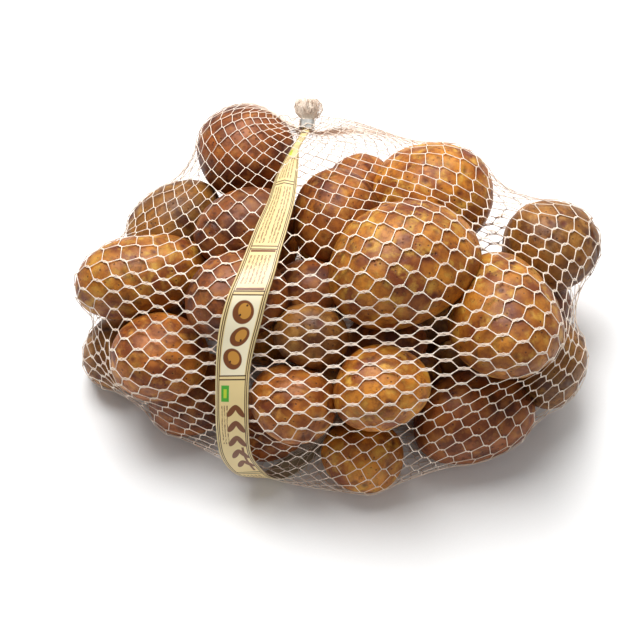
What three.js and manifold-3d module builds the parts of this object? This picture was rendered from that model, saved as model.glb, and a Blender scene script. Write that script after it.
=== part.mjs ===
// A knitted net of potatoes lying on its back, closed at both ends by a crimped clip, with a
// printed film band that runs over its front from one clip, round the lower edge, to the other.
// Millimetres, +Z up. The bag rests on z = 0, and the origin is under the middle of its outline.
// +X is the bag's length, +Y points to the end that is gathered behind the potatoes.
import * as THREE from 'three';
import Module from 'manifold-3d';
import { mergeVertices } from 'three/addons/utils/BufferGeometryUtils.js';

const wasm = await Module();
wasm.setup();

// ---- Driving dimensions ------------------------------------------------------------------

// Each potato: centre x, y, z, half length, half width, half height, turn about Z, nose up.
const POTATOES = [
  [-52, 76, 76, 27, 27, 26, 60, 0],
  [-90, 46, 55, 28, 22, 21, 35, 0],
  [-106, 1, 66, 37, 22, 23, 20, 0],
  [-50, 22, 83, 28, 21, 20, 25, 0],
  [-95, -41, 53, 26, 24, 23, 10, 0],
  [-121, -17, 20, 22, 19, 21, 80, 0],
  [-54, -25, 86, 27, 24, 22, 10, 0],
  [-2, 30, 82, 28, 24, 24, 80, 0],
  [31, -14, 99, 42, 33, 29, 25, 0],
  [51, 49, 75, 33, 31, 29, -15, 0],
  [114, 25, 61, 27, 25, 25, 0, 0],
  [84, -34, 81, 40, 29, 29, 100, -20],
  [112, -32, 35, 26, 20, 24, 90, 0],
  [-15, -43, 79, 20, 17, 17, 0, 0],
  [20, -70, 70, 25, 22, 22, 20, 0],
  [13, -81, 20, 22, 20, 21, 0, 0],
  [71, -61, 24, 34, 25, 25, 20, 0],
  [-33, -59, 20, 22, 20, 21, 0, 0],
  [-70, -36, 21, 24, 21, 22, 30, 0],
  [-16, -10, 66, 22, 20, 19, 0, 0],
  [23, -34, 55, 22, 19, 19, 0, 0],
  [-24, -71, 59, 23, 21, 20, 0, 0],
  [-99, 13, 22, 27, 23, 23, 0, 0],
  [-52, 50, 25, 30, 25, 26, 20, 0],
  [6, 50, 26, 29, 26, 27, 0, 0],
  [58, 9, 24, 30, 25, 25, 30, 0],
  [106, 12, 20, 24, 22, 22, 0, 0],
  [-38, 1, 24, 28, 24, 25, 60, 0],
];

const NET_COLUMNS = 36;      // meshes round the bag
const NET_ROWS = 50;         // joints from one clip to the other
const STRAND = 10.3;         // longest a strand may be, joint to joint
const SLACK_STRAND = 6.2;    // a strand shorter than this pushes back
const NET_STANDOFF = 0.9;    // joints ride this far off the potatoes
const SETTLE_STEPS = 600;
const DRAW_STEPS = 240;      // the net is drawn shut over the first of those
const OPEN_STRAND = 24;      // strand length before the net is drawn shut
const DRAW_IN = 0.15;        // share of the way a joint moves to its neighbours' middle
const SAG = 0.03;            // fall of a joint in each step

const NECK_RADIUS = 3;     // where the net runs into a clip
const CRIMP_RADIUS = 2.7;    // inside the clip
const NECK_TOP = new THREE.Vector3(-18, 81, 90);
const NECK_TOP_AXIS = new THREE.Vector3(0.05, 0.85, 0.52).normalize();
const NECK_BOTTOM = new THREE.Vector3(-4, -59, 10.5);
const NECK_BOTTOM_AXIS = new THREE.Vector3(0, 0, -1);
const BAND_APPROACH = new THREE.Vector3(0.74, 0.67, 0).normalize();

// The bunched tails past the necks, as rings: distance along the axis, radius, share of the frill.
const TOP_TAIL = [
  [1, CRIMP_RADIUS, 0], [6.4, CRIMP_RADIUS, 0], [7.5, 4, 0.3], [9.5, 6.5, 1], [13, 7.5, 1.2],
  [16.5, 6.5, 1.5], [18.5, 4, 1],
];
const BOTTOM_TAIL = [
  [1, CRIMP_RADIUS, 0], [6.4, CRIMP_RADIUS, 0], [7.2, 4, 0.3], [8.1, 5.5, 0.8], [9, 6.3, 1], [9.5, 5.2, 1],
];
const FRILL = 0.14;
const FRILL_FOLDS = 7;

// The open net before it is drawn shut: latitudes of a stretched ball with a pole for each clip.
const BALL_CENTRE = new THREE.Vector3(-2, -10, 62);
const BALL_HALF = new THREE.Vector3(158, 128, 95);
const BOTTOM_POLE = new THREE.Vector3(-0.03, -0.55, -1).normalize();

// The potatoes show through the open meshes, so the solid is the potatoes with the net's own form
// only where it is bunched at a clip or spread on the floor.
const POTATO_SIDES = 14;     // flat sides round a potato, and bands from end to end
const POTATO_BANDS = 8;
const TOP_BUNCH = 17;        // the net is solid this far from each clip
const BOTTOM_BUNCH = 13;
const SPREAD_HEIGHT = 4;     // and up to this height over the floor

// The lane under the net that the band and the bottom clip lie in.
const LANE_START = new THREE.Vector2(-36, -88);
const LANE_END = new THREE.Vector2(-5, -60);
const LANE_HALF_WIDTH = 12;
const LANE_RAMP = 6;
const LANE_HEIGHT = 2.5;
const ROOF_SLOPE = 0.43;     // fall of the net over the bottom clip, per millimetre outwards
const ROOF_REACH = 10;
const ROOF_SIDE = 1;         // its fall past that reach

// The lowest potatoes press the net into flat spots: what is under this height is cut off.
const REST_HEIGHT = 0.6;

// The two edges of the band between the clips, from the top one to the bottom one.
const BAND_LEFT = [
  [-26, 65, 95], [-29.5, 55, 98], [-34, 41, 101], [-38, 23, 104], [-43.5, 6, 106], [-48, -10, 108],
  [-52.5, -26, 109.5], [-57, -38, 107], [-60.5, -47.5, 99], [-62.5, -55.5, 89], [-63.5, -64, 78],
  [-64, -73, 67], [-64, -83, 53], [-62.5, -90, 38], [-58, -92, 24], [-51, -90, 11], [-42, -84, 3],
  [-30, -74, 0.8], [-15, -63.5, 1], [-9.5, -60.5, 2],
];
const BAND_RIGHT = [
  [-21.5, 64.5, 96], [-22, 54.5, 99], [-22.5, 40, 103], [-24, 21.5, 106], [-27, 4, 109], [-30.5, -12, 110.5],
  [-33.5, -26.5, 110.5], [-37, -38.5, 107.5], [-40, -48, 100], [-43.5, -57, 91], [-46, -66, 82],
  [-47, -76, 72], [-47, -86, 57], [-46, -92, 42], [-42, -93, 28], [-36, -92, 14], [-28.5, -87, 4.5],
  [-18, -78, 0.8], [-9.5, -67.5, 1], [-6, -64, 2],
];
const BAND_THICKNESS = 0.5;
const BAND_STEPS = 90;
const BAND_STRIPS = 4;       // flat strips across the band
const BAND_CREASE = 2;       // rise of the fold where the band is drawn into the top clip
const CREASE_START = 0.09;   // share of the band's length where the fold begins
const CREASE_END = 0.32;

const CLIP_GAP = 0.35;       // clear space left round what a clip holds
const CLIP_WALL = 1.2;
const CLIP_CORNER = 1;
const CLIP_LENGTH = 4.5;
const CLIP_START = 1.4;      // how far past the neck a clip begins
const BAND_OFFSET = 3.4;     // from the neck's axis to the middle of the band in a clip
const BAND_PINCH = 2.1;      // half the band's width in a clip

const COLOURS = {
  net_bag: [0xa8682e, 0.75, 0],
  label_band: [0xf0dfae, 0.4, 0],
  clip: [0xb9b7b0, 0.35, 0.9],
};

// ---- Potatoes ----------------------------------------------------------------------------

function makePotato([x, y, z, a, b, c, turn, nose], index) {
  const yaw = THREE.MathUtils.degToRad(turn);
  const pitch = THREE.MathUtils.degToRad(nose);
  const along = new THREE.Vector3(
    Math.cos(yaw) * Math.cos(pitch), Math.sin(yaw) * Math.cos(pitch), Math.sin(pitch));
  const across = new THREE.Vector3(-Math.sin(yaw), Math.cos(yaw), 0);
  const up = new THREE.Vector3().crossVectors(along, across);
  return { centre: new THREE.Vector3(x, y, z), axes: [along, across, up], half: [a, b, c], index };
}

// Share by which a potato swells or dips in the direction x, y, z of its own axes.
function lump(x, y, z, index) {
  return 0.045 * Math.sin(2.3 * x + 1.7 * index) * Math.cos(1.9 * y + 2.3 * index)
    + 0.030 * Math.sin(3.6 * z + 3.1 * index + 1.7 * x) - 0.01;
}

// Moves a point that is nearer than the standoff out along the potato's surface normal.
function pushOut(point, potato) {
  const { centre, axes, half, index } = potato;
  const offset = new THREE.Vector3().subVectors(point, centre);
  const reach = Math.max(...half) + NET_STANDOFF + 1;
  if (offset.lengthSq() > reach * reach) return;
  const q = axes.map((axis, k) => offset.dot(axis) / half[k]);
  const radius = Math.hypot(...q);
  const scaled = radius / (1 + lump(q[0] / radius, q[1] / radius, q[2] / radius, index));
  const normal = new THREE.Vector3();
  axes.forEach((axis, k) => normal.addScaledVector(axis, q[k] / half[k]));
  const steepness = normal.length();
  const distance = scaled * (scaled - 1) / steepness;
  if (distance < NET_STANDOFF) {
    point.addScaledVector(normal, (NET_STANDOFF - distance) / steepness);
  }
}

// ---- The net, as joints in staggered rows from the top clip to the bottom clip --------------

function ring(centre, axis, radius, phase, side) {
  const u = side.clone().addScaledVector(axis, -side.dot(axis)).normalize();
  const v = new THREE.Vector3().crossVectors(axis, u);
  return Array.from({ length: NET_COLUMNS }, (_, j) => {
    const angle = phase + 2 * Math.PI * j / NET_COLUMNS;
    return centre.clone()
      .addScaledVector(u, radius * Math.cos(angle))
      .addScaledVector(v, radius * Math.sin(angle));
  });
}

// How high the net must stay at a point: on the floor, or over the lane and the bottom clip.
function floorHeight(point) {
  const lane = new THREE.Vector2().subVectors(LANE_END, LANE_START);
  const from = new THREE.Vector2(point.x, point.y).sub(LANE_START);
  const t = THREE.MathUtils.clamp(from.dot(lane) / lane.lengthSq(), 0, 1);
  const off = from.addScaledVector(lane, -t).length();
  const share = THREE.MathUtils.clamp((LANE_HALF_WIDTH + LANE_RAMP - off) / LANE_RAMP, 0, 1);
  const fromClip = Math.hypot(point.x - NECK_BOTTOM.x, point.y - NECK_BOTTOM.y);
  const roof = NECK_BOTTOM.z - ROOF_SLOPE * (fromClip - NECK_RADIUS);
  const roofEdge = NECK_BOTTOM.z - ROOF_SLOPE * (ROOF_REACH - NECK_RADIUS);
  const wall = roofEdge - ROOF_SIDE * (fromClip - ROOF_REACH);
  return Math.max(share * LANE_HEIGHT, Math.min(roof, wall));
}

function openNet() {
  const topPole = NECK_TOP.clone().sub(BALL_CENTRE).normalize();
  const middle = topPole.clone().add(BOTTOM_POLE).multiplyScalar(0.5);
  const axis = topPole.clone().sub(BOTTOM_POLE).multiplyScalar(0.5);
  const spread = axis.length();
  axis.normalize();
  const side = new THREE.Vector3(1, 0, 0);
  side.addScaledVector(axis, -side.dot(axis)).normalize();
  const rows = [];
  for (let i = 0; i < NET_ROWS; i++) {
    const latitude = Math.PI * (i + 0.5) / NET_ROWS;
    const phase = Math.PI / NET_COLUMNS * (i % 2);
    const centre = axis.clone().multiplyScalar(Math.cos(latitude));
    rows.push(ring(centre, axis, Math.sin(latitude), phase, side).map((direction) => {
      const point = direction.multiplyScalar(spread).add(middle).normalize();
      point.multiply(BALL_HALF).add(BALL_CENTRE);
      point.z = Math.max(point.z, 0);
      return point;
    }));
  }
  return { rows, side };
}

// Each joint's two strands to the next row: same column, and one column on or back.
function strandFamilies() {
  const families = [];
  for (const [first, step] of [[0, 0], [0, -1], [1, 0], [1, 1]]) {
    const family = [];
    for (let i = first; i < NET_ROWS - 1; i += 2) {
      for (let j = 0; j < NET_COLUMNS; j++) {
        family.push([i, j, i + 1, (j + step + NET_COLUMNS) % NET_COLUMNS]);
      }
    }
    families.push(family);
  }
  return families;
}

function drawIn(rows, families) {
  const sums = rows.map((row) => row.map(() => ({ total: new THREE.Vector3(), count: 0 })));
  for (const [i, j, k, l] of families.flat()) {
    sums[i][j].total.add(rows[k][l]);
    sums[i][j].count += 1;
    sums[k][l].total.add(rows[i][j]);
    sums[k][l].count += 1;
  }
  for (let i = 1; i < NET_ROWS - 1; i++) {
    rows[i].forEach((point, j) => {
      const { total, count } = sums[i][j];
      point.lerp(total.divideScalar(count), DRAW_IN);
      point.z -= SAG;
    });
  }
}

function holdStrands(rows, families, longest) {
  const along = new THREE.Vector3();
  for (const family of families) {
    for (const [i, j, k, l] of family) {
      along.subVectors(rows[k][l], rows[i][j]);
      const length = along.length();
      let excess = 0;
      if (length > longest) excess = length - longest;
      else if (length < SLACK_STRAND) excess = 0.5 * (length - SLACK_STRAND);
      if (excess === 0) continue;
      along.multiplyScalar(0.5 * excess / Math.max(length, 1e-6));
      rows[i][j].add(along);
      rows[k][l].sub(along);
    }
  }
}

function settleNet(potatoes) {
  const { rows, side } = openNet();
  const families = strandFamilies();
  const last = NET_ROWS - 1;
  const lastPhase = Math.PI / NET_COLUMNS * (last % 2);
  const startTop = rows[0].map((point) => point.clone());
  const startBottom = rows[last].map((point) => point.clone());
  const endTop = ring(NECK_TOP, NECK_TOP_AXIS, NECK_RADIUS, 0, side);
  const endBottom = ring(NECK_BOTTOM, NECK_BOTTOM_AXIS.clone().negate(), NECK_RADIUS, lastPhase, side);
  const pin = (share) => {
    rows[0].forEach((point, j) => point.lerpVectors(startTop[j], endTop[j], share));
    rows[last].forEach((point, j) => point.lerpVectors(startBottom[j], endBottom[j], share));
  };
  for (let step = 0; step < SETTLE_STEPS; step++) {
    const share = Math.min(1, step / DRAW_STEPS);
    const longest = STRAND + (OPEN_STRAND - STRAND) * (1 - share) ** 1.5;
    pin(share);
    drawIn(rows, families);
    for (let pass = 0; pass < 3; pass++) {
      holdStrands(rows, families, longest);
      pin(share);
    }
    for (const row of rows.slice(1, last)) {
      for (const point of row) {
        for (const potato of potatoes) pushOut(point, potato);
        point.z = Math.max(point.z, floorHeight(point));
      }
    }
  }
  return { rows, side };
}

// ---- The closed bag: net, necks and tails ---------------------------------------------------

// lean is the unit direction that a tail is folded towards, so that its far side stays in line.
function tailRings(centre, axis, profile, phase, side, lean) {
  return profile.map(([distance, radius, frill]) => {
    const middle = centre.clone().addScaledVector(axis, distance)
      .addScaledVector(lean, radius * (1 + FRILL * frill) - CRIMP_RADIUS);
    return ring(middle, axis, radius, phase, side).map((point, j) => {
      const angle = 2 * Math.PI * j / NET_COLUMNS;
      const swell = FRILL * frill * Math.sin(FRILL_FOLDS * angle);
      return point.sub(middle).multiplyScalar(1 + swell).add(middle);
    });
  });
}

function closedSurface(ringsDown, isStaggered) {
  const positions = [];
  const triangles = [];
  const add = (point) => positions.push(point.x, point.y, point.z) / 3 - 1;
  const numbers = ringsDown.map((points) => points.map(add));
  const middleOf = (points) => points.reduce((sum, point) => sum.add(point), new THREE.Vector3())
    .divideScalar(points.length);
  const first = add(middleOf(ringsDown[0]));
  const final = add(middleOf(ringsDown.at(-1)));
  for (let i = 0; i < numbers.length - 1; i++) {
    const upper = numbers[i];
    const lower = numbers[i + 1];
    for (let j = 0; j < NET_COLUMNS; j++) {
      const k = (j + 1) % NET_COLUMNS;
      if (isStaggered(i)) triangles.push(upper[j], lower[j], lower[k], upper[j], lower[k], upper[k]);
      else triangles.push(upper[j], lower[j], upper[k], upper[k], lower[j], lower[k]);
    }
  }
  for (let j = 0; j < NET_COLUMNS; j++) {
    const k = (j + 1) % NET_COLUMNS;
    triangles.push(first, numbers[0][j], numbers[0][k], final, numbers.at(-1)[k], numbers.at(-1)[j]);
  }
  const geometry = new THREE.BufferGeometry();
  geometry.setAttribute('position', new THREE.Float32BufferAttribute(positions, 3));
  geometry.setIndex(triangles);
  return geometry;
}

function makeNetBag() {
  const potatoes = POTATOES.map(makePotato);
  const { rows, side } = settleNet(potatoes);
  const lastPhase = Math.PI / NET_COLUMNS * ((NET_ROWS - 1) % 2);
  const noLean = new THREE.Vector3();
  const top = tailRings(NECK_TOP, NECK_TOP_AXIS, TOP_TAIL, 0, side, noLean).reverse();
  const down = NECK_BOTTOM_AXIS.clone();
  const bottom = tailRings(NECK_BOTTOM, down.negate(), BOTTOM_TAIL.map(([s, r, f]) => [-s, r, f]),
    lastPhase, side, BAND_APPROACH);
  const isStaggered = (i) => i > top.length && i < top.length + NET_ROWS - 1 && (i - top.length) % 2 === 1;
  const net = toManifold(closedSurface([...top, ...rows, ...bottom], isStaggered));
  const bunches = [[NECK_TOP, TOP_BUNCH], [NECK_BOTTOM, BOTTOM_BUNCH]]
    .map(([neck, reach]) => net.intersect(wasm.Manifold.sphere(reach, 32).translate(neck.toArray())));
  const spread = net.intersect(floorBlock(SPREAD_HEIGHT));
  const solid = [...bunches, spread].reduce((sum, piece) => sum.add(piece), potatoPile(potatoes));
  const trimmed = toGeometry(solid.subtract(floorBlock(REST_HEIGHT)));
  return trimmed.translate(0, 0, -REST_HEIGHT);
}

// All the potatoes in one, with the thickness of the net on them.
function potatoPile(potatoes) {
  const point = new THREE.Vector3();
  const solids = potatoes.map(({ centre, axes, half, index }) => {
    const geometry = new THREE.SphereGeometry(1, POTATO_SIDES, POTATO_BANDS);
    const place = geometry.getAttribute('position');
    for (let n = 0; n < place.count; n++) {
      const way = point.fromBufferAttribute(place, n).toArray();
      const swell = 1 + lump(...way, index);
      point.copy(centre);
      axes.forEach((axis, k) => point.addScaledVector(axis, way[k] * (half[k] * swell + NET_STANDOFF)));
      place.setXYZ(n, point.x, point.y, point.z);
    }
    return toManifold(geometry);
  });
  return solids.reduce((sum, solid) => sum.add(solid));
}

function toManifold(geometry) {
  const bare = new THREE.BufferGeometry();
  bare.setAttribute('position', geometry.getAttribute('position'));
  if (geometry.index) bare.setIndex(geometry.index);
  const merged = mergeVertices(bare, 1e-4);
  return new wasm.Manifold(new wasm.Mesh({
    numProp: 3,
    vertProperties: new Float32Array(merged.getAttribute('position').array),
    triVerts: new Uint32Array(merged.index.array),
  }));
}

function toGeometry(solid) {
  const mesh = solid.getMesh();
  const geometry = new THREE.BufferGeometry();
  geometry.setAttribute('position', new THREE.Float32BufferAttribute(mesh.vertProperties, 3));
  geometry.setIndex(Array.from(mesh.triVerts));
  return geometry;
}

// All space up to a height over the floor.
function floorBlock(height) {
  const block = new THREE.BoxGeometry(400, 400, 20);
  block.translate(0, 0, height - 10);
  return toManifold(block);
}

// Where each clip sits once the bag has been lowered on to its flat spots.
const TOP_CLIP = {
  neck: NECK_TOP.clone().setZ(NECK_TOP.z - REST_HEIGHT),
  axis: NECK_TOP_AXIS,
  bandSide: new THREE.Vector3(0, -NECK_TOP_AXIS.z, NECK_TOP_AXIS.y).normalize(),
};
const BOTTOM_CLIP = {
  neck: NECK_BOTTOM.clone().setZ(NECK_BOTTOM.z - REST_HEIGHT),
  axis: NECK_BOTTOM_AXIS,
  bandSide: BAND_APPROACH.clone().negate(),
};

// ---- The band ----------------------------------------------------------------------------------

// A point on the band's edge beside a neck, so far along the neck.
function inClip({ neck, axis, bandSide }, distance, side) {
  const width = new THREE.Vector3().crossVectors(bandSide, axis);
  return neck.clone().addScaledVector(axis, distance)
    .addScaledVector(bandSide, BAND_OFFSET).addScaledVector(width, side * BAND_PINCH);
}

function makeBand() {
  const edges = [[BAND_LEFT, 1], [BAND_RIGHT, -1]].map(([points, side]) => new THREE.CatmullRomCurve3([
    inClip(TOP_CLIP, CLIP_START + CLIP_LENGTH, side),
    inClip(TOP_CLIP, CLIP_START + CLIP_LENGTH / 2, side),
    inClip(TOP_CLIP, CLIP_START - 0.4, side),
    ...points.map((p) => new THREE.Vector3(...p)),
    inClip(BOTTOM_CLIP, CLIP_START + CLIP_LENGTH + 0.4, -side),
    inClip(BOTTOM_CLIP, CLIP_START + CLIP_LENGTH / 2, -side),
    inClip(BOTTOM_CLIP, CLIP_START, -side),
  ], false, 'centripetal'));
  const point = (s, t) => {
    const [left, right] = edges.map((edge) => edge.getPoint(s));
    return left.lerp(right, t);
  };
  const normalAt = (s) => {
    const along = point(Math.min(s + 0.005, 1), 0.5).sub(point(Math.max(s - 0.005, 0), 0.5));
    const across = point(s, 1).sub(point(s, 0));
    return new THREE.Vector3().crossVectors(across, along).normalize();
  };
  const rings = [];
  for (let i = 0; i <= BAND_STEPS; i++) {
    const s = i / BAND_STEPS;
    const normal = normalAt(s);
    const creased = THREE.MathUtils.clamp((s - CREASE_START) / (CREASE_END - CREASE_START), 0, 1);
    const fold = BAND_CREASE * Math.sin(Math.PI * creased) ** 2;
    const top = [];
    const under = [];
    for (let k = 0; k <= BAND_STRIPS; k++) {
      const t = k / BAND_STRIPS;
      const rise = fold * (1 - Math.abs(2 * t - 1));
      const middle = point(s, t).addScaledVector(normal, -rise);
      top.push(middle.clone().addScaledVector(normal, -BAND_THICKNESS / 2));
      under.push(middle.addScaledVector(normal, BAND_THICKNESS / 2));
    }
    rings.push([...top, ...under.reverse()]);
  }
  return loft(rings);
}

// A closed skin through rings of equally many points, with flat ends.
function loft(rings) {
  const count = rings[0].length;
  const positions = rings.flat().flatMap((point) => point.toArray());
  const triangles = [];
  for (let i = 0; i < rings.length - 1; i++) {
    for (let j = 0; j < count; j++) {
      const a = i * count + j;
      const b = i * count + (j + 1) % count;
      triangles.push(a, a + count, b, b, a + count, b + count);
    }
  }
  const half = count / 2;
  const last = (rings.length - 1) * count;
  for (let j = 0; j < half - 1; j++) {
    const across = count - 1 - j;
    triangles.push(j, j + 1, across, j + 1, across - 1, across);
    triangles.push(last + j, last + across, last + j + 1, last + j + 1, last + across, last + across - 1);
  }
  const geometry = new THREE.BufferGeometry();
  geometry.setAttribute('position', new THREE.Float32BufferAttribute(positions, 3));
  geometry.setIndex(triangles);
  return geometry;
}

// ---- The clips ---------------------------------------------------------------------------------

const CLIP_HALF_WIDTH = CRIMP_RADIUS + CLIP_GAP;
const CLIP_LOW = CRIMP_RADIUS + CLIP_GAP;
const CLIP_HIGH = BAND_OFFSET + BAND_THICKNESS / 2 + CLIP_GAP;

function roundedRectangle(path, halfWidth, low, high, corner) {
  path.moveTo(-halfWidth + corner, -low);
  path.lineTo(halfWidth - corner, -low);
  path.absarc(halfWidth - corner, -low + corner, corner, -Math.PI / 2, 0);
  path.lineTo(halfWidth, high - corner);
  path.absarc(halfWidth - corner, high - corner, corner, 0, Math.PI / 2);
  path.lineTo(-halfWidth + corner, high);
  path.absarc(-halfWidth + corner, high - corner, corner, Math.PI / 2, Math.PI);
  path.lineTo(-halfWidth, -low + corner);
  path.absarc(-halfWidth + corner, -low + corner, corner, Math.PI, 1.5 * Math.PI);
  return path;
}

// A crimped metal ring round the neck; its high side, towards bandSide, also holds the band.
function makeClip({ neck, axis, bandSide }) {
  const shape = roundedRectangle(new THREE.Shape(), CLIP_HALF_WIDTH + CLIP_WALL,
    CLIP_LOW + CLIP_WALL, CLIP_HIGH + CLIP_WALL, CLIP_CORNER + CLIP_WALL);
  shape.holes.push(roundedRectangle(new THREE.Path(), CLIP_HALF_WIDTH, CLIP_LOW, CLIP_HIGH, CLIP_CORNER));
  const geometry = new THREE.ExtrudeGeometry(shape,
    { depth: CLIP_LENGTH, bevelEnabled: false, curveSegments: 4 });
  const width = new THREE.Vector3().crossVectors(bandSide, axis);
  const turn = new THREE.Matrix4().makeBasis(width, bandSide, axis);
  turn.setPosition(neck.clone().addScaledVector(axis, CLIP_START));
  return geometry.applyMatrix4(turn);
}

// ---- The object --------------------------------------------------------------------------------

function addMesh(group, name, geometry, [colour, roughness, metalness]) {
  const material = new THREE.MeshStandardMaterial({ color: colour, roughness, metalness });
  const mesh = new THREE.Mesh(geometry, material);
  mesh.name = name;
  group.add(mesh);
}

const group = new THREE.Group();

addMesh(group, 'net_bag', makeNetBag(), COLOURS.net_bag);
addMesh(group, 'label_band', makeBand(), COLOURS.label_band);
addMesh(group, 'clip_top', makeClip(TOP_CLIP), COLOURS.clip);
addMesh(group, 'clip_bottom', makeClip(BOTTOM_CLIP), COLOURS.clip);

export default group;
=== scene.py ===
"""A net of potatoes lying on its back, with a printed film band over its front.

The potatoes, the knitted net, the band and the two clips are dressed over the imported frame.
Sizes are in millimetres here and become metres where a mesh is made.
"""

import math

import bmesh
import bpy
import numpy as np
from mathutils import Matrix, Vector


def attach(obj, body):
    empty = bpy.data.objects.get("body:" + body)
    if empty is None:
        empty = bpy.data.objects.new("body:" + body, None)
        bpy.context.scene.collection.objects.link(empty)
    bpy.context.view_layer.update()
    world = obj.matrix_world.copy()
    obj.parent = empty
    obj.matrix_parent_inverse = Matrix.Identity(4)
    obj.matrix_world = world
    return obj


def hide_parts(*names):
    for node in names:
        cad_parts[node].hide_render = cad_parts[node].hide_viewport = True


bl_info = {
    "name": "Net of potatoes",
    "version": (1, 0, 0),
    "blender": (4, 5, 0),
    "location": "View3D > Sidebar > Potato net",
    "description": "Builds a knitted net of potatoes with a film band and two clips",
    "category": "Add Mesh",
}

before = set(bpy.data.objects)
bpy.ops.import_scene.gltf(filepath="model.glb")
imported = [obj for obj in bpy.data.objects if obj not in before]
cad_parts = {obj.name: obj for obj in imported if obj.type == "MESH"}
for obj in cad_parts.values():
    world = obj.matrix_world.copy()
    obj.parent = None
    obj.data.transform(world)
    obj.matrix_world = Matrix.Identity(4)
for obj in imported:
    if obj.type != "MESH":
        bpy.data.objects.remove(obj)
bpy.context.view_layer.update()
MM = 0.001


def unit(v):
    v = np.asarray(v, float)
    return v / np.maximum(np.linalg.norm(v, axis=-1, keepdims=True), 1e-9)


# ---- Sizes shared with the frame, in millimetres ------------------------------------------------

# Each potato: skin kind, centre x, y, z, half length, half width, half height, turn, nose up.
POTATOES = [
    ("russet", -52, 76, 76, 27, 27, 26, 60, 0),
    ("olive", -90, 46, 55, 28, 22, 21, 35, 0),
    ("golden", -106, 1, 66, 37, 22, 23, 20, 0),
    ("russet", -50, 22, 83, 28, 21, 20, 25, 0),
    ("ochre", -95, -41, 53, 26, 24, 23, 10, 0),
    ("olive", -121, -17, 20, 22, 19, 21, 80, 0),
    ("russet", -54, -25, 86, 27, 24, 22, 10, 0),
    ("ochre", -2, 30, 82, 28, 24, 24, 80, 0),
    ("golden", 31, -14, 99, 42, 33, 29, 25, 0),
    ("golden", 51, 49, 75, 33, 31, 29, -15, 0),
    ("olive", 114, 25, 61, 27, 25, 25, 0, 0),
    ("golden", 84, -34, 81, 40, 29, 29, 100, -20),
    ("olive", 112, -32, 35, 26, 20, 24, 90, 0),
    ("olive", -15, -43, 79, 20, 17, 17, 0, 0),
    ("golden", 20, -70, 70, 25, 22, 22, 20, 0),
    ("golden", 13, -81, 20, 22, 20, 21, 0, 0),
    ("russet", 71, -61, 24, 34, 25, 25, 20, 0),
    ("russet", -41, -63, 20, 24, 20, 21, 0, 0),
    ("russet", -79, -45, 21, 26, 21, 22, 30, 0),
    ("russet", -16, -10, 66, 22, 20, 19, 0, 0),
    ("russet", 23, -34, 55, 22, 19, 19, 0, 0),
    ("ochre", -24, -71, 59, 23, 21, 20, 0, 0),
    ("ochre", -99, 13, 22, 27, 23, 23, 0, 0),
    ("ochre", -52, 50, 25, 30, 25, 26, 20, 0),
    ("golden", 6, 50, 26, 29, 26, 27, 0, 0),
    ("olive", 58, 9, 24, 30, 25, 25, 30, 0),
    ("russet", 106, 12, 20, 24, 22, 22, 0, 0),
    ("golden", -38, 1, 24, 28, 24, 25, 60, 0),
    # Four more inside, which only show as dark shapes through the gaps.
    ("ochre", 10, 62, 65, 20, 17, 17, 10, 0),
    ("ochre", 39, -37, 20, 20, 17, 18, 20, 0),
    ("ochre", -5, -30, 20, 20, 17, 19, 0, 0),
    ("olive", 66, -22, 18, 17, 15, 16, 0, 0),
]
KINDS = ("golden", "ochre", "olive", "russet")

# The bag is modelled this much above the floor and lowered, so that it lies on small flats.
REST_HEIGHT = 0.6

# The necks, where the net is bunched in the clips.
NECK_RADIUS = 3.0
CRIMP_RADIUS = 2.7
NECK_TOP = np.array([-18.0, 81.0, 90.0])
NECK_TOP_AXIS = unit([0.05, 0.85, 0.52])
NECK_BOTTOM = np.array([-4.0, -59.0, 10.5])
NECK_BOTTOM_AXIS = np.array([0.0, 0.0, -1.0])
BAND_APPROACH = unit([0.74, 0.67, 0.0])
CLIP_START = 1.4
CLIP_LENGTH = 4.5

# The net starts as an open egg round the pile, and is drawn shut to the necks.
NET_COLUMNS = 38
NET_ROWS = 78
STRAND = 9.8
SLACK_STRAND = 4.7
OPEN_STRAND = 24.0
NET_STANDOFF = 0.9
SETTLE_STEPS = 600
DRAW_STEPS = 240
DRAW_IN = 0.15
SAG = 0.03
EGG_CENTRE = np.array([-2.0, -10.0, 62.0])
EGG_HALF = np.array([158.0, 128.0, 95.0])
BOTTOM_POLE = unit([-0.03, -0.55, -1.0])

# Under the bag the band runs in a lane to the lower clip, and the net arches over both.
LANE_START = np.array([-36.0, -88.0])
LANE_END = np.array([-5.0, -60.0])
LANE_HALF_WIDTH = 12.0
LANE_RAMP = 6.0
LANE_HEIGHT = 2.5
ROOF_SLOPE = 0.43
ROOF_REACH = 10.0
ROOF_SIDE = 1.0

# The band's two edges, from the top clip to the lower one.
BAND_LEFT = [
    (-26, 65, 95), (-29.5, 55, 98), (-34, 41, 101), (-38, 23, 104), (-43.5, 6, 106), (-48, -10, 108),
    (-52.5, -26, 109.5), (-57, -38, 107), (-60.5, -47.5, 99), (-62.5, -55.5, 89), (-63.5, -64, 78),
    (-64, -73, 67), (-64, -83, 53), (-62.5, -90, 38), (-58, -92, 24), (-51, -90, 11), (-42, -84, 3),
    (-30, -74, 0.8), (-15, -63.5, 1), (-9.5, -60.5, 2),
]
BAND_RIGHT = [
    (-21.5, 64.5, 96), (-22, 54.5, 99), (-22.5, 40, 103), (-24, 21.5, 106), (-27, 4, 109),
    (-30.5, -12, 110.5), (-33.5, -26.5, 110.5), (-37, -38.5, 107.5), (-40, -48, 100), (-43.5, -57, 91),
    (-46, -66, 82), (-47, -76, 72), (-47, -86, 57), (-46, -92, 42), (-42, -93, 28), (-36, -92, 14),
    (-28.5, -87, 4.5), (-18, -78, 0.8), (-9.5, -67.5, 1), (-6, -64, 2),
]
BAND_OFFSET = 3.4
BAND_PINCH = 2.1
BAND_CREASE = 2.0
CREASE_START = 0.09
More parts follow.
